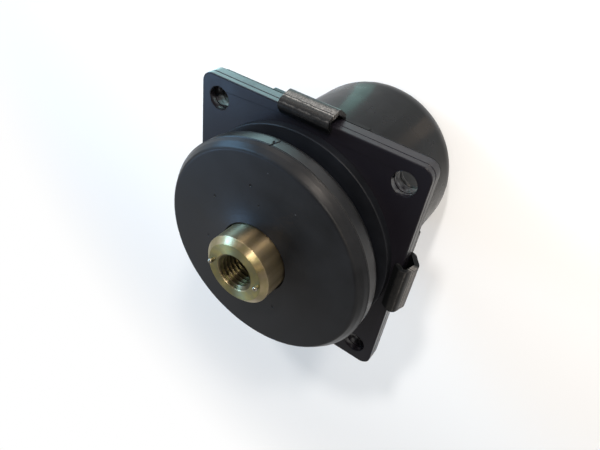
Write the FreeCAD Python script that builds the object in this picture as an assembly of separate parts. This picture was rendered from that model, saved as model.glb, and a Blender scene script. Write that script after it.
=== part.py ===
import FreeCAD, Part
import math
import os

# Hydraulic engine mount: a threaded steel core bonded in a rubber cone, on a square flange
# whose plates are clamped by the four folded tabs of a deep-drawn fluid housing.
# Millimetres. The Z axis is the mount's own axis, with the threaded boss at the top.
# Z = 0 is the front face of the flange, and the origin is the centre of its bolt pattern.

# ---- flange ----
flange_width = 130.0            # along X
flange_depth = 136.0            # along Y
flange_corner_radius = 6.0
front_plate_thickness = 3.6
flange_plate_thickness = 6.0
bolt_edge_distance_x = 11.5     # from a bolt hole's centre to the flange's side
bolt_edge_distance_y = 12.0
bolt_hole_diameter = 12.5
edge_break = 0.3                # small chamfer round the plates' outlines

# ---- core ----
boss_diameter = 38.2
boss_height = 47.2              # top face above the flange
boss_chamfer_width = 3.1
boss_chamfer_height = 2.7
thread_minor_diameter = 17.3    # tapping size of M20 x 2.5
thread_depth = 34.0
countersink_diameter = 20.8
drill_tip_height = 5.0
core_shoulder_diameter = 52.0
core_shoulder_height = 19.5     # the snubber plate rests here
core_cone_height = 8.0          # where the bonded cone starts
core_foot_diameter = 30.0
core_foot_height = -32.0

# ---- locating pins in the boss ----
pin_diameter = 2.6
pin_spacing = 28.0
pin_projection = 2.4
pin_depth = 8.0

# ---- snubber disc ----
snubber_plate_diameter = 108.0
snubber_plate_thickness = 5.0
snubber_diameter = 122.6
snubber_underside = 14.0
snubber_face_height = 30.0
snubber_front_rounding = 8.0
snubber_back_rounding = 4.5
snubber_collar_height = 32.7    # the rubber climbs the boss up to here
snubber_collar_width = 8.5
snubber_collar_rounding = 14.0
snubber_face_rise = 0.9         # the face is slightly higher towards the boss

# ---- main rubber spring ----
bead_diameter = 121.0
bead_height = 4.6
bead_width = 12.0
bead_rounding = 2.6
spring_groove_height = 1.6
spring_groove_width = 6.0
spring_skin = 3.5               # rubber left round the core's foot and shoulder
spring_skin_margin = 4.0        # bare metal at the core's foot
spring_top = 12.4
collar_clearance = 4.0          # from the sleeve's bore to the middle of the collar's bend
collar_bend_radius = 2.2        # on the fluid side
collar_slant = 8.0              # how far the pressed collar narrows to its foot
collar_depth = 22.0
spring_foot_margin = 1.4        # bare steel at the collar's foot
spring_hollow_height = -12.0    # crown of the arch on the spring's fluid side

# ---- fluid housing ----
can_sheet = 2.5
can_diameter = 106.5
can_bottom = -116.0
can_bottom_radius = 26.0
can_bend_radius = 6.0           # flange to wall, on the fluid side
can_flange_setback = 1.2
tab_root_width = 56.0
vent_diameter = 6.0

# ---- folded tabs ----
# reaches are from the flange's edge to the corners of the folded sheet's middle line
tab_width = 28.0
tab_root_reach = 1.0
tab_bulge_reach = 5.7
tab_bulge_height = -4.4
tab_crest_reach = 2.9
tab_crest_height = 5.0
tab_lip_overlap = 2.7
tab_lip_height = 0.8            # low enough for the lip's edge to be coined flat on the plate
tab_bend_radius = 1.0           # inside the bends

# ---- fluid parts ----
sleeve_wall = 2.5
sleeve_clearance = 0.25         # sleeve and track parts to the can's bore
sleeve_length = 58.4
seal_section = 2.4
upper_track_thickness = 5.0
lower_track_thickness = 9.0
channel_mean_radius = 40.0
channel_width = 7.0
channel_depth = 6.0
channel_sweep = 300.0           # degrees of the fluid channel
window_circle_radius = 14.0
window_diameter = 7.0
window_count = 8
membrane_diameter = 56.0
membrane_thickness = 2.0
membrane_rim_thickness = 4.0
membrane_rim_width = 4.0
diaphragm_thickness = 2.2
diaphragm_bead_width = 5.0
diaphragm_bead_height = 3.0
diaphragm_drop = 16.0
diaphragm_floor_radius = 30.0
diaphragm_ring_wall = 3.0

# ---- rebound stop under the core ----
rebound_washer_diameter = 88.0
rebound_washer_thickness = 3.5
rebound_buffer_thickness = 3.5
rebound_buffer_width = 9.0
rebound_buffer_inset = 1.5      # bare rim of the washer outside the buffer
rebound_buffer_draft = 1.2      # slope of the buffer's sides
screw_diameter = 10.0
screw_engagement = 18.0
screw_hole_spare = 2.0          # tapped depth left past the screw's end
screw_hole_clearance = 0.5
screw_head_height = 6.4
screw_head_flats = 17.0
lock_washer_diameter = 18.0
lock_washer_thickness = 2.2

# ---- worked-out levels and radii ----
boss_radius = boss_diameter / 2
bolt_spacing_x = flange_width - 2 * bolt_edge_distance_x
bolt_spacing_y = flange_depth - 2 * bolt_edge_distance_y
flange_plate_top = -front_plate_thickness
can_flange_top = flange_plate_top - flange_plate_thickness
can_flange_bottom = can_flange_top - can_sheet
can_outer_radius = can_diameter / 2
can_bore_radius = can_outer_radius - can_sheet
fluid_part_radius = can_bore_radius - sleeve_clearance
sleeve_bore_radius = fluid_part_radius - sleeve_wall
sleeve_bottom = flange_plate_top - sleeve_length
upper_track_bottom = sleeve_bottom - upper_track_thickness
lower_track_bottom = upper_track_bottom - lower_track_thickness
snubber_plate_top = core_shoulder_height + snubber_plate_thickness
rebound_washer_bottom = core_foot_height - rebound_washer_thickness
lock_washer_bottom = rebound_washer_bottom - lock_washer_thickness
axis_origin = FreeCAD.Vector(0, 0, 0)
axis_up = FreeCAD.Vector(0, 0, 1)


def rounded_edges(points):
    """Edges round a closed outline. Each point is (vector, radius); a radius above 0 rounds that corner."""
    starts, ends, arcs = [], [], []
    for index, (corner, radius) in enumerate(points):
        before = (points[index - 1][0] - corner).normalize()
        after = (points[(index + 1) % len(points)][0] - corner).normalize()
        if radius <= 0:
            starts.append(corner)
            ends.append(corner)
            arcs.append(None)
            continue
        half_angle = before.getAngle(after) / 2
        reach = radius / math.tan(half_angle)
        inward = (before + after).normalize()
        centre = corner + inward * (radius / math.sin(half_angle))
        starts.append(corner + before * reach)
        ends.append(corner + after * reach)
        arcs.append(centre - inward * radius)
    edges = []
    for index, middle in enumerate(arcs):
        if middle is not None:
            edges.append(Part.Arc(starts[index], middle, ends[index]).toShape())
        following = starts[(index + 1) % len(points)]
        if (following - ends[index]).Length > 1e-6:
            edges.append(Part.LineSegment(ends[index], following).toShape())
    return edges


def section_face(corners):
    """A face in the XZ half plane from (radius, height) or (radius, height, rounding) corners."""
    points = []
    for corner in corners:
        rounding = corner[2] if len(corner) > 2 else 0
        points.append((FreeCAD.Vector(corner[0], 0, corner[1]), rounding))
    return Part.Face(Part.Wire(rounded_edges(points)))


def turned(corners):
    """A solid of revolution about the mount's axis."""
    return section_face(corners).revolve(axis_origin, axis_up, 360)


def sheet_face(centre_line, thickness, inner_radius):
    """A bent sheet seen edge on: its centre line offset to both sides, with the bend's radii."""
    left, right = [], []
    last = len(centre_line) - 1
    for index, point in enumerate(centre_line):
        before = (point - centre_line[index - 1]).normalize() if index > 0 else None
        after = (centre_line[index + 1] - point).normalize() if index < last else None
        if before is None or after is None:
            along = after or before
            normal = FreeCAD.Vector(-along.z, 0, along.x)
            left.append((point + normal * (thickness / 2), 0))
            right.append((point - normal * (thickness / 2), 0))
            continue
        normal_before = FreeCAD.Vector(-before.z, 0, before.x)
        normal_after = FreeCAD.Vector(-after.z, 0, after.x)
        mitre = (normal_before + normal_after).normalize()
        reach = thickness / 2 / mitre.dot(normal_before)
        turns_left = before.x * after.z - before.z * after.x > 0
        left_radius = inner_radius if turns_left else inner_radius + thickness
        right_radius = inner_radius + thickness if turns_left else inner_radius
        left.append((point + mitre * reach, left_radius))
        right.append((point - mitre * reach, right_radius))
    return Part.Face(Part.Wire(rounded_edges(left + right[::-1])))


def round_bar(radius, bottom, top, x=0.0, y=0.0):
    return Part.makeCylinder(radius, top - bottom, FreeCAD.Vector(x, y, bottom))


def rectangle_plate(width, depth, corner_radius, bottom, thickness, broken_faces=()):
    """A plate with rounded corners, centred on the axis; its outline is chamfered at the given levels."""
    half_x, half_y = width / 2, depth / 2
    corners = [(-half_x, -half_y), (half_x, -half_y), (half_x, half_y), (-half_x, half_y)]
    points = [(FreeCAD.Vector(x, y, bottom), corner_radius) for x, y in corners]
    plate = Part.Face(Part.Wire(rounded_edges(points))).extrude(axis_up * thickness)
    for level in broken_faces:
        outline = [edge for edge in plate.Edges
                   if max(abs(edge.BoundBox.ZMin - level), abs(edge.BoundBox.ZMax - level)) < 1e-6]
        plate = plate.makeChamfer(edge_break, outline)
    return plate


def bolt_positions():
    return [(sx * bolt_spacing_x / 2, sy * bolt_spacing_y / 2) for sx in (-1, 1) for sy in (-1, 1)]


def with_bolt_holes(plate, bottom, top):
    """The plate with its four bolt holes punched straight through."""
    for x, y in bolt_positions():
        plate = plate.cut(round_bar(bolt_hole_diameter / 2, bottom, top, x, y))
    return plate


def make_core_blank():
    """The core before it is drilled: boss, shoulder for the snubber plate and a cone for the rubber."""
    shoulder = core_shoulder_diameter / 2
    foot = core_foot_diameter / 2
    return turned([
        (0, core_foot_height), (foot, core_foot_height, 1.5), (shoulder, core_cone_height, 6.0),
        (shoulder, core_shoulder_height), (boss_radius, core_shoulder_height),
        (boss_radius, boss_height - boss_chamfer_height),
        (boss_radius - boss_chamfer_width, boss_height), (0, boss_height)])


def make_core(blank):
    """Turned steel core with its threaded bore, the rebound screw's hole and two pin holes."""
    minor = thread_minor_diameter / 2
    sink = countersink_diameter / 2
    thread_bottom = boss_height - thread_depth
    bore = turned([
        (0, thread_bottom - drill_tip_height), (minor, thread_bottom),
        (minor, boss_height - (sink - minor)), (sink, boss_height), (0, boss_height)])
    screw_hole = round_bar(screw_diameter / 2, core_foot_height,
                           core_foot_height + screw_engagement + screw_hole_spare)
    body = blank.cut(bore).cut(screw_hole)
    for side in (-1, 1):
        body = body.cut(round_bar(pin_diameter / 2, boss_height - pin_depth, boss_height,
                                  side * pin_spacing / 2))
    return body


def make_locating_pin(side):
    """Hardened pin pressed into the boss, domed at its free end."""
    radius = pin_diameter / 2
    tip = boss_height + pin_projection
    pin = turned([(0, boss_height - pin_depth), (radius, boss_height - pin_depth),
                  (radius, tip, radius * 0.8), (0, tip)])
    pin.translate(FreeCAD.Vector(side * pin_spacing / 2, 0, 0))
    return pin


def make_snubber_plate():
    """Steel disc on the core's shoulder, the stiff middle of the snubber."""
    outer = snubber_plate_diameter / 2
    inset = edge_break * 2
    return turned([
        (boss_radius, core_shoulder_height), (outer - inset, core_shoulder_height),
        (outer, core_shoulder_height + inset), (outer, snubber_plate_top - inset),
        (outer - inset, snubber_plate_top), (boss_radius, snubber_plate_top)])


def make_snubber_cover(core_blank, plate):
    """Rubber moulded all round the snubber plate, climbing the boss in a concave collar."""
    rim = snubber_diameter / 2
    cover = turned([
        (0, snubber_underside), (rim, snubber_underside, snubber_back_rounding),
        (rim, snubber_face_height, snubber_front_rounding),
        (boss_radius + snubber_collar_width, snubber_face_height + snubber_face_rise,
         snubber_collar_rounding),
        (boss_radius, snubber_collar_height), (0, snubber_collar_height)])
    return cover.cut(core_blank).cut(plate)


def collar_centre_line():
    """Middle of the collar's sheet in the XZ half plane: flat ring, bend and foot."""
    mouth = sleeve_bore_radius - collar_clearance
    middle = flange_plate_top / 2
    return [FreeCAD.Vector(sleeve_bore_radius, 0, middle), FreeCAD.Vector(mouth, 0, middle),
            FreeCAD.Vector(mouth - collar_slant, 0, flange_plate_top - collar_depth)]


def make_front_plate():
    """Thin square plate whose middle is pressed down into the cone that the rubber is bonded to."""
    plate = rectangle_plate(flange_width, flange_depth, flange_corner_radius,
                            flange_plate_top, front_plate_thickness, broken_faces=(0,))
    plate = plate.cut(round_bar(sleeve_bore_radius, flange_plate_top, 0))
    collar = sheet_face(collar_centre_line(), front_plate_thickness, collar_bend_radius)
    plate = plate.fuse(collar.revolve(axis_origin, axis_up, 360)).removeSplitter()
    return with_bolt_holes(plate, flange_plate_top, 0)


def make_main_spring(core_blank, front_plate):
    """Bonded rubber cone between core and front plate, with a buffer bead on the plate's face."""
    shoulder = core_shoulder_diameter / 2
    bead = bead_diameter / 2
    skin_level = core_foot_height + spring_skin_margin
    mouth, foot = collar_centre_line()[1:]
    rubber_end = foot + (mouth - foot) * (spring_foot_margin / collar_depth)
    arch_inner = core_foot_diameter / 2 + spring_skin
    arch_outer = rubber_end.x - front_plate_thickness - spring_skin / 2
    spring = turned([
        (0, skin_level), (arch_inner, skin_level, 2.0),
        ((arch_inner + arch_outer) / 2, spring_hollow_height, (arch_outer - arch_inner) / 3),
        (arch_outer, rubber_end.z), (rubber_end.x, rubber_end.z), (mouth.x, mouth.z), (bead, mouth.z),
        (bead, bead_height, bead_rounding), (bead - bead_width, bead_height, 4.0),
        (bead - bead_width - spring_groove_width, spring_groove_height, 5.0),
        (shoulder + spring_skin, spring_top, 4.0), (0, spring_top)])
    return spring.cut(core_blank).cut(front_plate)


def make_flange_plate():
    """Thick square plate that carries the load, with a chamfered seat for the seal ring."""
    plate = rectangle_plate(flange_width, flange_depth, flange_corner_radius,
                            can_flange_top, flange_plate_thickness,
                            broken_faces=(can_flange_top, flange_plate_top))
    seat = seal_section / 2 * (2 + math.sqrt(2)) - sleeve_clearance
    plate = plate.cut(turned([
        (0, can_flange_top), (can_bore_radius, can_flange_top),
        (can_bore_radius, flange_plate_top - seat), (can_bore_radius + seat, flange_plate_top),
        (0, flange_plate_top)]))
    return with_bolt_holes(plate, can_flange_top, flange_plate_top)


def make_seal_ring():
    """Rubber ring squeezed between front plate, flange plate and sleeve."""
    radius = seal_section / 2
    return Part.makeTorus(fluid_part_radius + radius, radius,
                          FreeCAD.Vector(0, 0, flange_plate_top - radius))


def make_tab(half_side):
    """One folded tab at the +X side: it leaves the can's flange, bulges round the plates' edge,
    rises to a crest and comes down on the front plate with its lip."""
    flange_level = can_flange_top - can_sheet / 2
    centre_line = [
        FreeCAD.Vector(half_side - 2 * can_flange_setback, 0, flange_level),
        FreeCAD.Vector(half_side + tab_root_reach, 0, flange_level),
        FreeCAD.Vector(half_side + tab_bulge_reach, 0, tab_bulge_height),
        FreeCAD.Vector(half_side + tab_crest_reach, 0, tab_crest_height),
        FreeCAD.Vector(half_side - tab_lip_overlap, 0, tab_lip_height)]
    tab = sheet_face(centre_line, can_sheet, tab_bend_radius).extrude(FreeCAD.Vector(0, tab_width, 0))
    tab.translate(FreeCAD.Vector(0, -tab_width / 2, 0))
    return tab


def make_housing_can():
    """Deep-drawn steel can: rounded bottom, square flange and the four tabs, all one sheet.
    The tabs are pressed hard against the block of plates that they clamp."""
    inner_bottom = can_bottom + can_sheet
    flange_lip = can_outer_radius + can_bend_radius
    shell = turned([
        (0, can_bottom), (can_outer_radius, can_bottom, can_bottom_radius),
        (can_outer_radius, can_flange_bottom, can_bend_radius - can_sheet),
        (flange_lip, can_flange_bottom), (flange_lip, can_flange_top),
        (can_bore_radius, can_flange_top, can_bend_radius),
        (can_bore_radius, inner_bottom, can_bottom_radius - can_sheet), (0, inner_bottom)])
    flange = rectangle_plate(flange_width - 2 * can_flange_setback, flange_depth - 2 * can_flange_setback,
                             flange_corner_radius, can_flange_bottom, can_sheet)
    for width, depth in ((flange_width, tab_root_width), (tab_root_width, flange_depth)):
        flange = flange.fuse(rectangle_plate(width, depth, 1.0, can_flange_bottom, can_sheet))
    flange = flange.cut(round_bar(flange_lip, can_flange_bottom, can_flange_top))
    can = shell.fuse(flange)
    for quarter in range(4):
        half_side = (flange_width if quarter % 2 == 0 else flange_depth) / 2
        tab = make_tab(half_side)
        tab.rotate(axis_origin, axis_up, 90 * quarter)
        can = can.fuse(tab)
    clamped_block = rectangle_plate(flange_width, flange_depth, flange_corner_radius,
                                    can_flange_top, -can_flange_top)
    can = can.removeSplitter().cut(clamped_block)
    can = can.cut(round_bar(vent_diameter / 2, can_bottom, inner_bottom))
    return with_bolt_holes(can, can_flange_bottom, can_flange_top)


def make_spacer_sleeve():
    """Steel tube that holds the track plates down against the can's rounded bottom."""
    return turned([(sleeve_bore_radius, sleeve_bottom), (fluid_part_radius, sleeve_bottom),
                   (fluid_part_radius, flange_plate_top), (sleeve_bore_radius, flange_plate_top)])


def with_windows(plate, bottom, top):
    """Ring of round windows, and one in the middle, through which the fluid works the membrane."""
    plate = plate.cut(round_bar(window_diameter / 2, bottom, top))
    for number in range(window_count):
        angle = 2 * math.pi * number / window_count
        plate = plate.cut(round_bar(window_diameter / 2, bottom, top,
                                    window_circle_radius * math.cos(angle),
                                    window_circle_radius * math.sin(angle)))
    return plate


def membrane_pocket(seam, side):
    """Half of the space that the membrane takes, on one side of the seam between the track plates."""
    outer = membrane_diameter / 2
    level = seam + side * membrane_rim_thickness / 2
    return round_bar(outer, min(seam, level), max(seam, level))


def make_upper_track_plate():
    """Aluminium lid of the fluid channel, with its inlet port and the membrane's windows."""
    plate = round_bar(fluid_part_radius, upper_track_bottom, sleeve_bottom)
    plate = plate.cut(membrane_pocket(upper_track_bottom, 1))
    plate = with_windows(plate, upper_track_bottom, sleeve_bottom)
    inlet = round_bar(channel_width / 2, upper_track_bottom, sleeve_bottom, channel_mean_radius)
    return plate.cut(inlet)


def make_lower_track_plate():
    """Aluminium casting with the long curved channel that joins the two fluid chambers."""
    plate = round_bar(fluid_part_radius, lower_track_bottom, upper_track_bottom)
    inner = channel_mean_radius - channel_width / 2
    outer = channel_mean_radius + channel_width / 2
    floor = upper_track_bottom - channel_depth
    section = section_face([(inner, floor), (outer, floor), (outer, upper_track_bottom),
                            (inner, upper_track_bottom)])
    channel = section.revolve(axis_origin, axis_up, channel_sweep)
    plate = plate.cut(channel).cut(membrane_pocket(upper_track_bottom, -1))
    start = round_bar(channel_width / 2, floor, upper_track_bottom, channel_mean_radius)
    end_angle = math.radians(channel_sweep)
    outlet = round_bar(channel_width / 2, lower_track_bottom, upper_track_bottom,
                       channel_mean_radius * math.cos(end_angle), channel_mean_radius * math.sin(end_angle))
    return with_windows(plate.cut(start).cut(outlet), lower_track_bottom, upper_track_bottom)


def make_decoupler_membrane():
    """Rubber disc held by its thick rim between the track plates."""
    outer = membrane_diameter / 2
    web = outer - membrane_rim_width
    half_rim = membrane_rim_thickness / 2
    half_web = membrane_thickness / 2
    middle = upper_track_bottom
    return turned([(0, middle - half_web), (web, middle - half_web), (web, middle - half_rim),
                   (outer, middle - half_rim), (outer, middle + half_rim), (web, middle + half_rim),
                   (web, middle + half_web), (0, middle + half_web)])


def make_diaphragm():
    """Thin rubber cup that lets the lower fluid chamber grow and shrink."""
    bead_bottom = lower_track_bottom - diaphragm_bead_height
    bead_inner = fluid_part_radius - diaphragm_bead_width
    floor = lower_track_bottom - diaphragm_drop
    wall = diaphragm_thickness
    return turned([
        (0, floor - wall), (diaphragm_floor_radius, floor - wall, 6.0),
        (bead_inner, bead_bottom, 3.0), (fluid_part_radius, bead_bottom),
        (fluid_part_radius, lower_track_bottom), (bead_inner - wall, lower_track_bottom),
        (diaphragm_floor_radius - wall, floor, 4.0), (0, floor)])


def make_diaphragm_ring():
    """Steel ring that clamps the diaphragm's bead and stands on the can's rounded bottom."""
    top = lower_track_bottom - diaphragm_bead_height
    inside_radius = can_bottom_radius - can_sheet
    centre_level = can_bottom + can_bottom_radius
    offset = fluid_part_radius - (can_outer_radius - can_bottom_radius)
    bottom = centre_level - math.sqrt(inside_radius ** 2 - offset ** 2)
    inner = fluid_part_radius - diaphragm_ring_wall
    return turned([(inner, bottom), (fluid_part_radius, bottom), (fluid_part_radius, top), (inner, top)])


def make_rebound_washer():
    """Steel washer under the core that stops it from being pulled out."""
    outer = rebound_washer_diameter / 2
    bore = screw_diameter / 2 + screw_hole_clearance
    return turned([(bore, rebound_washer_bottom), (outer, rebound_washer_bottom),
                   (outer, core_foot_height), (bore, core_foot_height)])


def make_rebound_buffer():
    """Rubber ring bonded on the washer, which meets the foot of the front plate's cone."""
    outer = rebound_washer_diameter / 2 - rebound_buffer_inset
    top = core_foot_height + rebound_buffer_thickness
    return turned([
        (outer - rebound_buffer_width, core_foot_height), (outer, core_foot_height),
        (outer - rebound_buffer_draft, top), (outer - rebound_buffer_width + rebound_buffer_draft, top)])


def make_lock_washer():
    bore = screw_diameter / 2 + screw_hole_clearance
    outer = lock_washer_diameter / 2
    return turned([(bore, lock_washer_bottom), (outer, lock_washer_bottom),
                   (outer, rebound_washer_bottom), (bore, rebound_washer_bottom)])


def make_rebound_screw():
    """Hexagon screw that holds the rebound washer to the core's foot."""
    corner_radius = screw_head_flats / math.sqrt(3)
    corners = [FreeCAD.Vector(corner_radius * math.cos(math.pi * n / 3),
                              corner_radius * math.sin(math.pi * n / 3),
                              lock_washer_bottom - screw_head_height) for n in range(7)]
    head = Part.Face(Part.makePolygon(corners)).extrude(axis_up * screw_head_height)
    shank = round_bar(screw_diameter / 2, lock_washer_bottom, core_foot_height + screw_engagement)
    return head.fuse(shank)


def main():
    core_blank = make_core_blank()
    snubber_plate = make_snubber_plate()
    front_plate = make_front_plate()
    parts = {
        "core": make_core(core_blank),
        "locating_pin_left": make_locating_pin(-1),
        "locating_pin_right": make_locating_pin(1),
        "snubber_plate": snubber_plate,
        "snubber_cover": make_snubber_cover(core_blank, snubber_plate),
        "main_spring": make_main_spring(core_blank, front_plate),
        "front_plate": front_plate,
        "flange_plate": make_flange_plate(),
        "seal_ring": make_seal_ring(),
        "housing_can": make_housing_can(),
        "spacer_sleeve": make_spacer_sleeve(),
        "upper_track_plate": make_upper_track_plate(),
        "lower_track_plate": make_lower_track_plate(),
        "decoupler_membrane": make_decoupler_membrane(),
        "diaphragm": make_diaphragm(),
        "diaphragm_ring": make_diaphragm_ring(),
        "rebound_washer": make_rebound_washer(),
        "rebound_buffer": make_rebound_buffer(),
        "lock_washer": make_lock_washer(),
        "rebound_screw": make_rebound_screw(),
    }
    os.makedirs("parts", exist_ok=True)
    for name, shape in parts.items():
        shape.exportStep(f"parts/{name}.step")
        print(f"{name}: valid {shape.isValid()}, solids {len(shape.Solids)}, {shape.Volume:.0f} mm3")


main()
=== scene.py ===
import math
import bmesh
import bpy
import numpy as np
from mathutils import Matrix, Vector


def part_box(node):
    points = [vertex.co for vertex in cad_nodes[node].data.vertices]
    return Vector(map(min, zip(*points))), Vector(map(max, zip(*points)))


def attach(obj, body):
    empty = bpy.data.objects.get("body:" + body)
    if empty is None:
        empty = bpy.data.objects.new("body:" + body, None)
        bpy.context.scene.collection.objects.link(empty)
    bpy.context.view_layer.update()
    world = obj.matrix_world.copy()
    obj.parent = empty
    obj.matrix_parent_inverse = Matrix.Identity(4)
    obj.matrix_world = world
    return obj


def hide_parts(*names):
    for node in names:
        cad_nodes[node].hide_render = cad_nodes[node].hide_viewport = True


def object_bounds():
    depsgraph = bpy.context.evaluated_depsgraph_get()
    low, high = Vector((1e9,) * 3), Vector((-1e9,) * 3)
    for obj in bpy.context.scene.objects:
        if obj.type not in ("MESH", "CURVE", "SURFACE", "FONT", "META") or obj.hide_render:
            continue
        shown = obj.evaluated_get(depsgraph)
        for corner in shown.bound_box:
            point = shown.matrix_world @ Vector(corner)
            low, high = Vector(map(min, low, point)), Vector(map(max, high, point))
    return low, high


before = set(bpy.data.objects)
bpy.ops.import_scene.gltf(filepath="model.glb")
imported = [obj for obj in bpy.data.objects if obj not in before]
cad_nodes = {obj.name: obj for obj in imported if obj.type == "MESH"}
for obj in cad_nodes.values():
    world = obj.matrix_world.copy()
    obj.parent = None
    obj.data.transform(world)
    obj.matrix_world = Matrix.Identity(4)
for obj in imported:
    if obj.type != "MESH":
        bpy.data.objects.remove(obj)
cad_box = [list(corner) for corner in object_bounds()]
mm = 0.001


# ---- Studio ----
# The mount stands on the flat bottom of its can, on a plain white paper sweep. Softboxes light it from
# the sides and from above, and the paper keeps a pale shadow.

bpy.context.scene.view_settings.view_transform = "Standard"


def linear(code):
    """An sRGB hex colour as linear RGBA. A channel is ((c + 0.055) / 1.055) ** 2.4, or c / 12.92 if dark."""
    channel = np.array([int(code[i:i + 2], 16) for i in (1, 3, 5)]) / 255
    value = np.where(channel > 0.04045, ((channel + 0.055) / 1.055) ** 2.4, channel / 12.92)
    return (*value.tolist(), 1.0)


def add(tree, kind, inputs=None, **settings):
    """Adds a node. Settings are its properties; inputs gives sockets a value or links them to an output."""
    new = tree.nodes.new(kind)
    for key, value in settings.items():
        setattr(new, key, value)
    for key, value in (inputs or {}).items():
        if isinstance(value, bpy.types.NodeSocket):
            tree.links.new(value, new.inputs[key])
        else:
            new.inputs[key].default_value = value
    return new


def combined(tree, operation, *values):
    """The output of a Math node on one, two or three values. MULTIPLY_ADD is first * second + third."""
    return add(tree, "ShaderNodeMath", dict(enumerate(values)), operation=operation).outputs[0]


def ranged(tree, value, low, high, at_low=0.0, at_high=1.0, **settings):
    """A value carried over from the range low to high to that of at_low to at_high, and kept inside it."""
    return add(tree, "ShaderNodeMapRange", {0: value, 1: low, 2: high, 3: at_low, 4: at_high},
               **settings).outputs[0]


def white_paper_material(shadow_reach):
    """White paper sweep: matt near the object, where it keeps a pale shadow, and plain white further off.
    Light that bounces off it towards the object is that of matt paper."""
    material = bpy.data.materials.new("white_paper_sweep")
    material.use_nodes = True
    tree = material.node_tree
    tree.nodes.clear()
    matt = add(tree, "ShaderNodeBsdfDiffuse", {"Color": linear("#e3e0dc")})
    plain = add(tree, "ShaderNodeEmission", {"Color": linear("#ffffff"), "Strength": 1.0})
    path = add(tree, "ShaderNodeLightPath").outputs
    mirrored = combined(tree, "MAXIMUM", path["Is Glossy Ray"], path["Is Transmission Ray"])
    seen = combined(tree, "MAXIMUM", path["Is Camera Ray"], mirrored)
    where = add(tree, "ShaderNodeTexCoord").outputs["Object"]
    distance = add(tree, "ShaderNodeVectorMath", {0: where, 1: (0, 0, floor_level)}, operation="DISTANCE")
    plain_when_near = 0.20
    far = ranged(tree, distance.outputs["Value"], 0.5 * shadow_reach, shadow_reach, plain_when_near, 1.0,
                 interpolation_type="SMOOTHSTEP")
    share = combined(tree, "MULTIPLY", seen, far)
    mixed = add(tree, "ShaderNodeMixShader", {0: share, 1: matt.outputs[0], 2: plain.outputs[0]})
    add(tree, "ShaderNodeOutputMaterial", {"Surface": mixed.outputs[0]})
    return material


floor_half = 3.0
floor_level = cad_box[0][2]
floor_mesh = bpy.data.meshes.new("floor")
floor_mesh.from_pydata([(x * floor_half, y * floor_half, floor_level)
                        for x, y in ((-1, -1), (1, -1), (1, 1), (-1, 1))], [], [(0, 1, 2, 3)])
floor = bpy.data.objects.new("floor", floor_mesh)
bpy.context.scene.collection.objects.link(floor)
floor_mesh.materials.append(white_paper_material(0.6))

# The room is white to the eye. Mirrored, it is palest above the horizon, dims towards the ceiling and
# the floor, and is darker on its right half, away from the windows.
world = bpy.data.worlds.new("white_room")
bpy.context.scene.world = world
world.use_nodes = True
room = world.node_tree
room.nodes.clear()
light_path = add(room, "ShaderNodeLightPath").outputs
direction = add(room, "ShaderNodeTexCoord").outputs["Generated"]
way = add(room, "ShaderNodeSeparateXYZ", {0: direction}).outputs
ceiling = ranged(room, way["Z"], 0.48, 0.82, 0.85, 0.14)
horizon = ranged(room, way["Z"], 0.10, 0.45, 0.16, 1.0)
right_half = ranged(room, way["X"], -0.52, -0.28, 1.0, 0.62)
mirror_level = combined(room, "MULTIPLY", combined(room, "MULTIPLY", ceiling, horizon), right_half)
fill_level = 0.37
lit = add(room, "ShaderNodeMix", {0: light_path["Is Diffuse Ray"], 2: mirror_level, 3: fill_level})
glow = add(room, "ShaderNodeMix", {0: light_path["Is Camera Ray"], 2: lit.outputs[0], 3: 1.0})
backdrop = add(room, "ShaderNodeBackground", {"Color": linear("#ffffff"), "Strength": glow.outputs[0]})
add(room, "ShaderNodeOutputWorld", {"Surface": backdrop.outputs[0]})


def towards(azimuth, elevation, distance):
    """The point at a distance in metres from the origin, in a direction given in degrees."""
    turn, rise = math.radians(azimuth), math.radians(elevation)
    flat = math.cos(rise)
    return Vector((flat * math.cos(turn), flat * math.sin(turn), math.sin(rise))) * distance


def softbox(name, place, aim, long_side, width, height, watts, colour, mirrored=True):
    """A rectangular soft light at a place in metres that shines towards a point. Its width lies along
    long_side, as far as the direction of its light allows."""
    lamp = bpy.data.lights.new(name, "AREA")
    lamp.shape = "RECTANGLE"
    lamp.size, lamp.size_y = width, height
    lamp.energy = watts
    lamp.color = linear(colour)[:3]
    box = bpy.data.objects.new(name, lamp)
    back = (Vector(place) - Vector(aim)).normalized()
    side = Vector(long_side)
    side = (side - side.dot(back) * back).normalized()
    box.matrix_world = (Matrix.Translation(place)
                        @ Matrix((side, back.cross(side), back)).transposed().to_4x4())
    box.visible_camera = False
    box.visible_glossy = mirrored
    bpy.context.scene.collection.objects.link(box)


centre = (0, 0, 0)
upright, level = (0, 0, 1), (1, 0, 0)
softbox("window", towards(153, 21, 1.0), centre, upright, 0.72, 0.31, 7.0, "#90ceff")
softbox("window_above", towards(-159, 46, 1.0), centre, level, 0.22, 0.22, 1.6, "#9acbff")
softbox("warm_lamp", towards(60, 60, 1.0), centre, level, 0.30, 0.22, 2.2, "#fff8ec")
softbox("warm_lamp_side", towards(14, 56, 1.0), centre, level, 0.16, 0.16, 0.5, "#ffe9cc")
softbox("doorway", towards(112, 4, 1.0), centre, upright, 0.34, 0.12, 0.5, "#ffe6cc")
# Two small strong lamps draw the shadows and leave no glints. A larger one beside them leaves the glints.
softbox("shadow_lamp_right", towards(88, 34, 1.2), centre, level, 0.08, 0.08, 10.5, "#ffffff", mirrored=False)
softbox("shadow_lamp_left", towards(68, 23, 1.2), centre, level, 0.09, 0.09, 9.0, "#ffffff", mirrored=False)
softbox("side_lamp", towards(69, 24, 1.2), centre, upright, 0.26, 0.14, 4.6, "#fff2e4")


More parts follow.
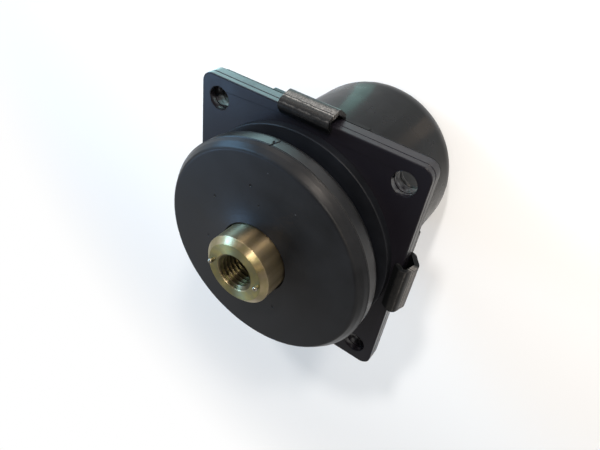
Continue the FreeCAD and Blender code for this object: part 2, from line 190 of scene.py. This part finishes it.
def floor_strip(name, azimuth, near, far, width, watts, colour):
    """A light panel that lies on the floor and shines up, from near to far in metres from the axis."""
    just_above = floor_level + 2 * mm
    place = towards(azimuth, 0, (near + far) / 2) + Vector((0, 0, just_above))
    softbox(name, place, place + Vector(upright), towards(azimuth, 0, 1), far - near, width, watts, colour)


floor_strip("low_panel", 137, 0.135, 0.26, 0.20, 0.34, "#a4dfe4")
floor_strip("can_strip", 117, 0.062, 0.11, 0.020, 0.0048, "#86dcd0")
floor_strip("can_strip_warm", 52, 0.062, 0.10, 0.016, 0.0016, "#ffdcb8")
softbox("low_back_lamp", (-0.19, 0.44, -0.05), (0, 0.07, 0), level, 0.22, 0.09, 0.22, "#fff6ee")

camera_place = Vector((107.3, 179.4, 186.1)) * mm
camera_forward = Vector((-0.38045, -0.62902, -0.67793)).normalized()
camera_right = Vector((0.81211, 0.12346, -0.57030))
camera_right = (camera_right - camera_right.dot(camera_forward) * camera_forward).normalized()
camera_up = camera_right.cross(camera_forward)
camera_axes = Matrix((camera_right, camera_up, -camera_forward)).transposed().to_4x4()
camera_data = bpy.data.cameras.new("camera")
camera_data.lens = 30.74
camera_data.sensor_width = 36.0
camera_data.shift_x = 0.0067
camera_data.shift_y = -0.0090
camera_data.clip_start = 0.01
camera = bpy.data.objects.new("camera", camera_data)
camera.matrix_world = Matrix.Translation(camera_place) @ camera_axes
bpy.context.scene.collection.objects.link(camera)
bpy.context.scene.camera = camera


# ---- Core with its threaded boss ----
# One turned steel piece, plated with yellow-passivated zinc. The boss has a wide end chamfer and a
# countersunk M20 x 2.5 thread; the cone below it is bonded into the rubber.

def rounded(corners, steps=7):
    """Profile through (radius, height, rounding) corners in mm. A corner with a rounding becomes an arc
    that touches both sides: its centre lies on the bisector, rounding / sin(half the angle) away."""
    corners = [tuple(c) + (0,) * (3 - len(c)) for c in corners]
    point, rounding = np.array(corners)[:, :2], np.array(corners)[:, 2:]
    before, after = np.roll(point, 1, 0) - point, np.roll(point, -1, 0) - point
    before /= np.linalg.norm(before, axis=1, keepdims=True)
    after /= np.linalg.norm(after, axis=1, keepdims=True)
    half = np.arccos((before * after).sum(1, keepdims=True)) / 2
    inward = (before + after) / (2 * np.cos(half))
    arc_centre = point + inward * rounding / np.sin(half)
    first = point + before * rounding / np.tan(half) - arc_centre
    last = point + after * rounding / np.tan(half) - arc_centre
    swing = np.pi - 2 * half
    share = np.linspace(0, 1, steps)[:, None, None]
    arc = arc_centre + (np.sin((1 - share) * swing) * first + np.sin(share * swing) * last) / np.sin(swing)
    profile = arc.transpose(1, 0, 2).reshape(-1, 2)
    return profile[np.insert(np.linalg.norm(np.diff(profile, axis=0), axis=1) > 1e-6, 0, True)]


def full_turn(segments):
    """Equal angles all round."""
    return np.linspace(0, 2 * np.pi, segments, endpoint=False)


def spread(profile, step):
    """The same profile with extra points, so that no two are further apart than step."""
    length = np.insert(np.cumsum(np.linalg.norm(np.diff(profile, axis=0), axis=1)), 0, 0)
    extra = np.arange(step, length[-1], step)
    along = np.unique(np.round(np.concatenate([length, extra]), 4))
    return np.stack([np.interp(along, length, profile[:, axis]) for axis in (0, 1)], axis=1)


def lathe(name, radius, height, closed_loop, turn):
    """Surface of revolution in mm: ring i at angle a is (radius cos a, radius sin a, height). Radius and
    height hold one value for each ring, or one for each ring and angle. Rings of radius 0 become poles."""
    segments = len(turn)
    radius = np.broadcast_to(np.reshape(radius, (len(radius), -1)), (len(radius), segments))
    height = np.broadcast_to(np.reshape(height, (len(height), -1)), (len(radius), segments))
    points = np.stack([radius * np.cos(turn), radius * np.sin(turn), height], axis=-1).reshape(-1, 3) * mm
    ring = np.arange(len(radius) if closed_loop else len(radius) - 1)[:, None] * segments
    following = (ring + segments) % (len(radius) * segments)
    here = np.arange(segments)
    there = (here + 1) % segments
    quads = np.stack([ring + here, ring + there, following + there, following + here], -1).reshape(-1, 4)
    mesh = bpy.data.meshes.new(name)
    mesh.from_pydata(points.tolist(), [], quads.tolist())
    return finished_piece(name, mesh)


def finished_piece(name, mesh, sharp_degrees=32):
    """Welds the mesh, turns its faces outwards, keeps edges sharper than an angle crisp, and shows it."""
    welded = bmesh.new()
    welded.from_mesh(mesh)
    bmesh.ops.remove_doubles(welded, verts=welded.verts, dist=0.002 * mm)
    bmesh.ops.recalc_face_normals(welded, faces=welded.faces)
    welded.to_mesh(mesh)
    welded.free()
    mesh.shade_smooth()
    mesh.set_sharp_from_angle(angle=math.radians(sharp_degrees))
    piece = bpy.data.objects.new(name, mesh)
    bpy.context.scene.collection.objects.link(piece)
    return piece


def dress(piece, material, slot, *nodes):
    """Gives a new piece its material and hands it to the frame in the place of CAD nodes."""
    piece.data.materials.clear()
    piece.data.materials.append(material)
    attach(piece, "root")
    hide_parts(*nodes)


def principled(name, colour, metallic, roughness, **sockets):
    """A material with one Principled shader. Uniform values go straight on its sockets."""
    material = bpy.data.materials.new(name)
    material.use_nodes = True
    shader = material.node_tree.nodes["Principled BSDF"]
    shader.inputs["Base Color"].default_value = linear(colour)
    shader.inputs["Metallic"].default_value = metallic
    shader.inputs["Roughness"].default_value = roughness
    for key, value in sockets.items():
        shader.inputs[key.replace("_", " ")].default_value = value
    return material, material.node_tree, shader


def place_on_piece(tree):
    """The place of a point on its piece, in metres."""
    return add(tree, "ShaderNodeTexCoord").outputs["Object"]


def noise(tree, vector, scale, detail):
    """Cloudy noise between about 0.3 and 0.7, with a scale in cells per metre."""
    return add(tree, "ShaderNodeTexNoise", {"Vector": vector, "Scale": scale, "Detail": detail}).outputs[0]


def axis_and_radius(tree, place):
    """The height of a place on its piece and its distance from the mount's axis."""
    split = add(tree, "ShaderNodeSeparateXYZ", {0: place}).outputs
    flat = add(tree, "ShaderNodeCombineXYZ", {"X": split["X"], "Y": split["Y"]})
    radius = add(tree, "ShaderNodeVectorMath", {0: flat.outputs[0]}, operation="LENGTH")
    return split["Z"], radius.outputs["Value"]


def blend(tree, share, first, second, blend_type="MIX"):
    """Two colours mixed, with a share of the second."""
    return add(tree, "ShaderNodeMix", {0: share, 6: first, 7: second}, data_type="RGBA",
               blend_type=blend_type).outputs[2]


def yellow_zinc_material(bore_edge):
    """Yellow-passivated zinc over turned steel: olive grey on the end face, gold on the chamfer and bronze
    on the side, clouded within a few millimetres. The tool lines run round the boss, so they draw its
    reflections out across them. The side that faces the -x way is painted greener, as a painted reflection
    of the cool window lamp. Streaks that follow the way the surface faces are painted reflections. Inside
    the radius of the bore's edge in mm the colour is darker, as painted shade in the bore."""
    material, tree, shader = principled("yellow_passivated_zinc", "#b1b096", 1.0, 0.40,
                                        Anisotropic=0.85, Anisotropic_Rotation=0.25)
    place = place_on_piece(tree)
    height, radius = axis_and_radius(tree, place)
    normal = add(tree, "ShaderNodeTexCoord").outputs["Normal"]
    facing = add(tree, "ShaderNodeSeparateXYZ", {0: normal}).outputs
    cloud = noise(tree, place, 1 / (5 * mm), 3.0)

    drift = combined(tree, "MULTIPLY_ADD", cloud, 0.40, combined(tree, "MULTIPLY", facing["Z"], 0.78))
    tint = add(tree, "ShaderNodeValToRGB", {0: drift})
    ramp = tint.color_ramp
    ramp.elements[0].position, ramp.elements[0].color = 0.10, linear("#a39379")
    ramp.elements[1].position, ramp.elements[1].color = 1.0, linear("#99946f")
    for position, colour in ((0.24, "#9c8c6c"), (0.70, "#cdb896"), (0.86, "#b5a877"), (0.93, "#a69d68")):
        ramp.elements.new(position).color = linear(colour)
    # Painted reflection: the side that faces the -x way is tinted green, as the cool window lamp's
    # reflection.
    painted_reflection_side = ranged(tree, facing["X"], -0.45, -0.80, 0.0, 0.5)
    tint_with_painted_reflection = blend(tree, painted_reflection_side, tint.outputs[0], linear("#b2bd96"))

    # Painted shade: the colour is made darker inside the bore's edge, where the bore lies in shade.
    painted_bore_shade = ranged(tree, radius, (bore_edge - 0.4) * mm, (bore_edge + 0.3) * mm, 0.34, 1.0)
    # Painted reflections: the colour brightens and darkens with noise on the way the surface faces, as
    # streaks of reflected light round the boss.
    painted_reflection_streaks = ranged(tree, noise(tree, normal, 3.2, 2.0), 0.35, 0.65, 0.72, 1.12)
    painted_shade_and_streaks = combined(tree, "MULTIPLY", painted_bore_shade, painted_reflection_streaks)
    tree.links.new(blend(tree, 1.0, tint_with_painted_reflection, painted_shade_and_streaks, "MULTIPLY"), shader.inputs["Base Color"])
    tree.links.new(ranged(tree, cloud, 0.3, 0.7, 0.34, 0.46), shader.inputs["Roughness"])

    around = add(tree, "ShaderNodeTangent", direction_type="RADIAL", axis="Z")
    tree.links.new(around.outputs[0], shader.inputs["Tangent"])
    line_pitch = 0.28 * mm
    across = combined(tree, "MULTIPLY_ADD", radius, 1.7, height)
    lines = add(tree, "ShaderNodeTexNoise", {"W": across, "Scale": 1 / line_pitch, "Detail": 2.0},
                noise_dimensions="1D")
    grooves = add(tree, "ShaderNodeBump", {"Height": lines.outputs[0], "Strength": 0.25,
                                           "Distance": 0.02 * mm})
    tree.links.new(grooves.outputs[0], shader.inputs["Normal"])
    return material


boss_radius = 19.1
boss_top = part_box("core")[1].z / mm
boss_chamfer = (3.1, 2.7)
core_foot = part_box("core")[0].z / mm
core_foot_radius = 15
screw_hole_radius, screw_hole_top = 5, -12
disc_seat_radius, disc_seat = 26.0, 19.5
countersink, mouth_edge = 10.4, 0.3
core_outline = spread(rounded([
    (0, screw_hole_top), (screw_hole_radius, screw_hole_top), (screw_hole_radius, core_foot),
    (core_foot_radius, core_foot, 1.5), (disc_seat_radius, 8, 6.0), (disc_seat_radius, disc_seat),
    (boss_radius, disc_seat), (boss_radius, boss_top - boss_chamfer[1], 0.45),
    (boss_radius - boss_chamfer[0], boss_top, 0.35),
    (countersink + mouth_edge, boss_top), (countersink, boss_top - mouth_edge)]), 2.0)

# The thread: the bore's radius follows a wave of flats and flanks that climbs one pitch a turn.
thread_minor, thread_depth, thread_pitch = 8.65, 1.35, 2.5
minor_flat, major_flat = 0.25, 0.125
bore_depth, bore_tip, runout_length = 34.0, 5.0, 3.0
core_segments = 192
core_turns = full_turn(core_segments)
depth = np.linspace(mouth_edge, bore_depth, 240)[:, None]
thread_phase = np.mod(depth / thread_pitch + core_turns / (2 * np.pi), 1.0)
flank = np.clip((np.abs(thread_phase - 0.5) * 2 - minor_flat) / (1 - minor_flat - major_flat), 0, 1)
runout = np.clip((bore_depth - depth) / runout_length, 0, 1)
bore_radius = np.maximum(thread_minor + thread_depth * flank * runout, countersink - depth)
core_radius = np.vstack([np.repeat(core_outline[:, :1], core_segments, 1), bore_radius,
                         np.zeros((1, core_segments))])
core_height = np.vstack([np.repeat(core_outline[:, 1:], core_segments, 1),
                         np.repeat(boss_top - depth, core_segments, 1),
                         np.full((1, core_segments), boss_top - bore_depth - bore_tip)])
core = lathe("turned_core", core_radius, core_height, False, core_turns)
dress(core, yellow_zinc_material(countersink), "zinc_plated_steel", "core")


# ---- Locating pins ----
# Two ground and hardened pins pressed into the boss's end face, with domed free ends.

def bare_metal_material(name, colour, cloud_size, detail, smoothest, roughest):
    """Bare metal whose roughness is clouded over patches of a size in metres, where it has been handled
    or where the mould left its mark."""
    material, tree, shader = principled(name, colour, 1.0, smoothest)
    cloud = noise(tree, place_on_piece(tree), 1 / cloud_size, detail)
    tree.links.new(ranged(tree, cloud, 0.3, 0.7, smoothest, roughest), shader.inputs["Roughness"])
    return material


bright_steel = bare_metal_material("ground_bright_steel", "#a9a290", 3 * mm, 2.0, 0.24, 0.34)
pin_radius, pin_foot, pin_top = 1.3, 39.2, boss_top + 2.4
pin_offset = 14
pin_profile = spread(rounded([(0, pin_foot), (pin_radius, pin_foot), (pin_radius, pin_top, 1.05),
                              (0, pin_top)], 9), 1.0)
for side, name in ((-1, "left"), (1, "right")):
    pin = lathe("dowel_" + name, pin_profile[:, 0], pin_profile[:, 1], False, full_turn(32))
    pin.data.transform(Matrix.Translation((side * pin_offset * mm, 0, 0)))
    dress(pin, bright_steel, "bright_steel", "locating_pin_" + name)


# ---- Snubber disc ----
# Satin black rubber moulded all round a steel disc. It climbs the boss in a shallow flare. The two halves
# of the mould left a fine ridge round the rim, and a nick where the sprue was torn off.

def moulded_rubber_material(name, colour, roughness):
    """Moulded natural rubber: nearly black, satin, with a fine grain and a pale bloom."""
    material, tree, shader = principled(name, colour, 0.0, roughness, Specular_IOR_Level=0.30)
    place = place_on_piece(tree)
    grain = noise(tree, place, 1 / (0.5 * mm), 3.0)
    bloom = noise(tree, place, 1 / (14 * mm), 4.0)
    both = combined(tree, "MULTIPLY_ADD", grain, 0.5, bloom)
    tint = ranged(tree, both, 0.5, 1.0, 0.70, 1.35)
    tree.links.new(blend(tree, 1.0, linear(colour), tint, "MULTIPLY"), shader.inputs["Base Color"])
    tree.links.new(ranged(tree, both, 0.5, 1.0, roughness - 0.05, roughness + 0.06),
                   shader.inputs["Roughness"])
    bump = add(tree, "ShaderNodeBump", {"Height": grain, "Strength": 0.25, "Distance": 0.06 * mm})
    tree.links.new(bump.outputs[0], shader.inputs["Normal"])
    return material


def add_bump(material, height, distance):
    """Lays a further bump over the one a material already has."""
    normal = material.node_tree.nodes["Principled BSDF"].inputs["Normal"]
    bump = add(material.node_tree, "ShaderNodeBump", {"Height": height, "Strength": 1.0, "Distance": distance,
                                                      "Normal": normal.links[0].from_socket})
    material.node_tree.links.new(bump.outputs[0], normal)


def spot(material, x, y, size, colour, pit_depth=None):
    """A round mark on the snubber's face, at a place and of a size in mm: a light fleck of dust, or a small
    pit left by the mould, whose black colour is painted shade in it."""
    tree = material.node_tree
    base = tree.nodes["Principled BSDF"].inputs["Base Color"]
    spot_centre = (x * mm, y * mm, flare_height(math.hypot(x, y)) * mm)
    away = add(tree, "ShaderNodeVectorMath", {0: place_on_piece(tree), 1: spot_centre}, operation="DISTANCE")
    inside = ranged(tree, away.outputs["Value"], size * 0.35 * mm, size * 0.65 * mm, 1.0, 0.0)
    tree.links.new(blend(tree, inside, base.links[0].from_socket, linear(colour)), base)
    if pit_depth:
        add_bump(material, inside, -pit_depth * mm)


def distance_to_line(across, along, points):
    """Distance from every (across, along) to a bent line: to its nearest stretch, where the share of the
    way along a stretch is the dot product with it over its squared length, kept between 0 and 1."""
    nearest = np.full(np.broadcast(across, along).shape, np.inf)
    for (x0, y0), (x1, y1) in zip(points, points[1:]):
        dx, dy = x1 - x0, y1 - y0
        share = np.clip(((across - x0) * dx + (along - y0) * dy) / (dx * dx + dy * dy), 0, 1)
        nearest = np.minimum(nearest, np.hypot(across - x0 - share * dx, along - y0 - share * dy))
    return nearest


snubber_radius = 61.3
snubber_underside, snubber_face = 14.0, 29.8
seam_level = 24.4
disc_radius, disc_top = 54.0, 24.5


def flare_height(radius):
    """The face rises towards the boss by an amount that falls off exponentially with the radius."""
    rise_at_boss, fall_off = 3.3, 8.5
    return snubber_face + rise_at_boss * math.exp((boss_radius - radius) / fall_off)


snubber_profile = spread(rounded([
    (disc_seat_radius, snubber_underside), (snubber_radius, snubber_underside, 4.5),
    (snubber_radius, seam_level - 0.6), (snubber_radius - 0.3, seam_level - 0.35),
    (snubber_radius, seam_level - 0.1), (snubber_radius + 0.12, seam_level + 0.2, 0.2),
    (snubber_radius - 0.2, seam_level + 0.5), (60.0, 26.8, 5.0), (57.7, snubber_face, 2.6),
    *[(radius, flare_height(radius)) for radius in range(50, 20, -2)],
    (boss_radius + 0.8, flare_height(boss_radius + 0.8), 0.3), (boss_radius + 0.15, 31.4),
    (boss_radius, disc_top), (disc_radius, disc_top), (disc_radius, disc_seat),
    (disc_seat_radius, disc_seat)], 12), 0.8)

# The nick is a shallow torn Y on the rim, so the rings have extra points round it.
nick_angle = math.radians(91.8)
nick_reach = 2.4
nick_turns = nick_angle + np.linspace(-nick_reach, nick_reach, 33) / snubber_radius
snubber_turns = full_turn(288)
clear_of_nick = np.abs(snubber_turns - nick_angle) > (nick_reach + 0.2) / snubber_radius
snubber_turns = np.sort(np.concatenate([snubber_turns[clear_of_nick], nick_turns]))
round_rim = (snubber_turns - nick_angle) * -snubber_radius
rim_level = snubber_profile[:, 1:]
tear = np.minimum(distance_to_line(round_rim, rim_level, [(-0.3, 24.6), (0.1, 22.2), (1.0, 19.2)]),
                  distance_to_line(round_rim, rim_level, [(0.1, 22.2), (-1.1, 20.6)]))
tear_depth, tear_half_width = 1.1, 0.25
torn_away = np.where(snubber_profile[:, :1] > 60, tear_depth * np.clip(1.6 - tear / tear_half_width, 0, 1), 0)
snubber = lathe("snubber_rubber", snubber_profile[:, :1] - torn_away,
                np.repeat(rim_level, len(snubber_turns), 1), True, snubber_turns)

snubber_rubber = moulded_rubber_material("moulded_black_rubber", "#121213", 0.38)
# The pits are painted black as shade in them, and given a bump.
for x, y, size in ((-6.9, 39.7, 1.2), (-28.2, 22.5, 1.3), (-0.8, 31.3, 0.9), (-31.5, -5.1, 1.1),
                   (14.3, -28.3, 1.3)):
    spot(snubber_rubber, x, y, size, "#000000", pit_depth=0.5 * size)
for x, y, size in ((1.8, 50.8, 0.6), (19.1, 36.9, 0.6)):
    spot(snubber_rubber, x, y, size, "#3c3e42")
dress(snubber, snubber_rubber, "black_rubber", "snubber_cover")


# ---- Main rubber spring ----
# The bonded rubber cone between core and flange. Only its bead shows, a low ring on the flange's face
# that buffers the snubber.

bead_radius, bead_height = 60.5, 4.6
spring_profile = spread(rounded([
    (16.2, -28), (18.5, -28, 2.0), (24.8, -12, 4.0), (31.1, -24.1), (34.6, -24.1), (42.7, 0, 5.8),
    (bead_radius, 0), (bead_radius, bead_height, 0.6), (48.5, bead_height, 4.0), (42.5, 1.6, 5.0),
    (29.5, 12.4, 4.0), (disc_seat_radius, 12.4), (disc_seat_radius, 9.5)], 10), 1.6)
spring = lathe("spring_rubber", spring_profile[:, 0], spring_profile[:, 1], True, full_turn(256))
spring_rubber = moulded_rubber_material("bonded_black_rubber", "#0e0f12", 0.50)
dress(spring, spring_rubber, "black_rubber", "main_spring")


# ---- Flange plates ----
# Two square steel plates on top of each other, cut from strip and dipped in black paint with the can.

def black_paint_material(name, colour, gloss, roughness, peel_size, peel_depth):
    """Black dip paint on sheet steel: glossy, gently uneven like orange peel, with specks of dust in it.
    The peel's size and depth are in metres."""
    material, tree, shader = principled(name, colour, 0.0, roughness, Specular_IOR_Level=gloss)
    place = place_on_piece(tree)
    peel = noise(tree, place, 1 / peel_size, 2.0)
    grit = noise(tree, place, 1 / (0.6 * mm), 2.0)
    relief = combined(tree, "MULTIPLY_ADD", grit, 0.12, peel)
    bump = add(tree, "ShaderNodeBump", {"Height": relief, "Strength": 0.5, "Distance": peel_depth})
    tree.links.new(bump.outputs[0], shader.inputs["Normal"])
    smear = noise(tree, place, 1 / (20 * mm), 4.0)
    tree.links.new(ranged(tree, smear, 0.3, 0.7, roughness - 0.06, roughness + 0.08),
                   shader.inputs["Roughness"])
    return material


def edged_copy(name, node, edge_width):
    """A welded copy of a CAD node whose sharp edges are rounded, as paint and tumbling leave them. Its
    faces square to an axis are shaded flat."""
    mesh = cad_nodes[node].data.copy()
    mesh.name = name
    if "custom_normal" in mesh.attributes:
        mesh.attributes.remove(mesh.attributes["custom_normal"])
    copy = finished_piece(name, mesh, 30)
    oblique = [max(abs(part) for part in face.normal) < 0.9999 for face in mesh.polygons]
    mesh.polygons.foreach_set("use_smooth", oblique)
    edge = copy.modifiers.new("edge", "BEVEL")
    edge.width = edge_width
    edge.segments = 2
    edge.limit_method = "ANGLE"
    edge.angle_limit = math.radians(40)
    return copy


hole_place, hole_radius = (53.5, 56), 6.25


def dripped_holes(material):
    """Paint ran down inside the bolt holes and set in ridges: bump on the walls only, found by their
    distance from the nearest hole's axis."""
    tree = material.node_tree
    place = place_on_piece(tree)
    folded = add(tree, "ShaderNodeVectorMath", {0: place}, operation="ABSOLUTE")
    flat = add(tree, "ShaderNodeVectorMath", {0: folded.outputs[0], 1: (1, 1, 0)}, operation="MULTIPLY")
    hole_axis = (hole_place[0] * mm, hole_place[1] * mm, 0)
    away = add(tree, "ShaderNodeVectorMath", {0: flat.outputs[0], 1: hole_axis}, operation="DISTANCE")
    on_wall = ranged(tree, away.outputs["Value"], (hole_radius + 0.02) * mm, (hole_radius + 0.15) * mm,
                     1.0, 0.0)
    ridges = noise(tree, place, 1 / (4.5 * mm), 0.6)
    add_bump(material, combined(tree, "MULTIPLY", ridges, on_wall), 2.6 * mm)


plate_paint = black_paint_material("black_dip_paint_on_plate", "#110f13", 0.31, 0.34, 2.2 * mm, 0.05 * mm)
dripped_holes(plate_paint)
for node_name, edge_width in (("front_plate", 0.35 * mm), ("flange_plate", 0.4 * mm)):
    plate = edged_copy(node_name + "_painted", node_name, edge_width)
    dress(plate, plate_paint, "black_paint", node_name)


# ---- Fluid housing with its folded tabs ----
# A deep-drawn steel can. Its square flange backs the plates, and four tabs fold round them to hold the
# stack together.

def scuffs_and_painted_light_on_folds(material, light, dark):
    """Marks of the folding tool on the tabs, which bent the painted sheet: fine scratches across each tab as
    wear, set in painted light. A light band up each tab's outer face is painted light on its lit side, with a
    black crease line halfway up it as painted shade, a rough bright edge above that, and a painted highlight
    along the worn crest."""
    tree = material.node_tree
    place = place_on_piece(tree)
    split = add(tree, "ShaderNodeSeparateXYZ", {0: place}).outputs
    along_x, along_y = (combined(tree, "ABSOLUTE", split[axis]) for axis in "XY")
    # The flange is 6 mm narrower in x than in y, so x is moved out by 3 mm to treat all tabs alike.
    reach = combined(tree, "MAXIMUM", combined(tree, "ADD", along_x, 3.0 * mm), along_y)
    on_tab = ranged(tree, reach, 71.0 * mm, 71.9 * mm, 0.1, 1.0)

    # Painted light: the ramp over the height draws light bands and a highlight line on the tabs' lit faces,
    # with a dark crease line between them as painted shade. The scratch noise in them is wear.
    waver = noise(tree, place, 1 / (3 * mm), 3.0)
    bent = combined(tree, "MULTIPLY_ADD", waver, 0.9 * mm, split["Z"])
    lowest, highest = -5.0, 7.0
    painted_light_ramp = add(tree, "ShaderNodeValToRGB", {0: ranged(tree, bent, lowest * mm, highest * mm)})
    ramp = painted_light_ramp.color_ramp
    ramp.elements[0].position, ramp.elements[0].color = 0.10, (0, 0, 0, 1)
    ramp.elements[1].position, ramp.elements[1].color = 1.0, (0.05, 0.05, 0.05, 1)
    for height, share in ((-3.2, 0.15), (-1.6, 0.75), (0.25, 0.85), (0.4, 0.0), (0.7, 0.0), (0.85, 1.0),
                          (1.35, 0.9), (1.8, 0.16), (4.5, 0.08), (4.9, 0.8), (5.1, 0.8), (5.5, 0.05)):
        ramp.elements.new((height - lowest) / (highest - lowest)).color = (share, share, share, 1)

    squeezed = add(tree, "ShaderNodeVectorMath", {0: place, 1: (1, 1, 0.2)}, operation="MULTIPLY")
    scratch = noise(tree, squeezed.outputs[0], 1 / (0.38 * mm), 3.0)
    worn = ranged(tree, scratch, 0.32, 0.72, 0.18, 0.90)
    painted_light_on_tab = combined(tree, "MULTIPLY", painted_light_ramp.outputs[0], on_tab)
    paint = blend(tree, combined(tree, "MULTIPLY", worn, painted_light_on_tab), linear(dark), linear(light))
    tree.links.new(paint, tree.nodes["Principled BSDF"].inputs["Base Color"])


can_black = "#0a0b0c"
can_paint = black_paint_material("black_dip_paint_on_can", can_black, 0.08, 0.28, 5.0 * mm, 0.04 * mm)
# The light grey is painted light on the tabs, mixed with their scratch wear.
scuffs_and_painted_light_on_folds(can_paint, "#807b76", can_black)
dripped_holes(can_paint)
can = edged_copy("can_painted", "housing_can", 0.3 * mm)
dress(can, can_paint, "black_paint", "housing_can")


# ---- Parts inside the can ----
# Sleeve, track plates, membrane, diaphragm and rebound stop. They are closed in and keep plain finishes.

cast_aluminium = bare_metal_material("die_cast_aluminium", "#b9bbbd", 1.2 * mm, 3.0, 0.34, 0.52)
inner_finish = {
    bright_steel: ("snubber_plate", "spacer_sleeve", "diaphragm_ring", "rebound_washer", "lock_washer",
                   "rebound_screw"),
    spring_rubber: ("seal_ring", "decoupler_membrane", "diaphragm", "rebound_buffer"),
    cast_aluminium: ("upper_track_plate", "lower_track_plate")}
for finish, node_names in inner_finish.items():
    for node_name in node_names:
        for slot in cad_nodes[node_name].material_slots:
            slot.material = finish
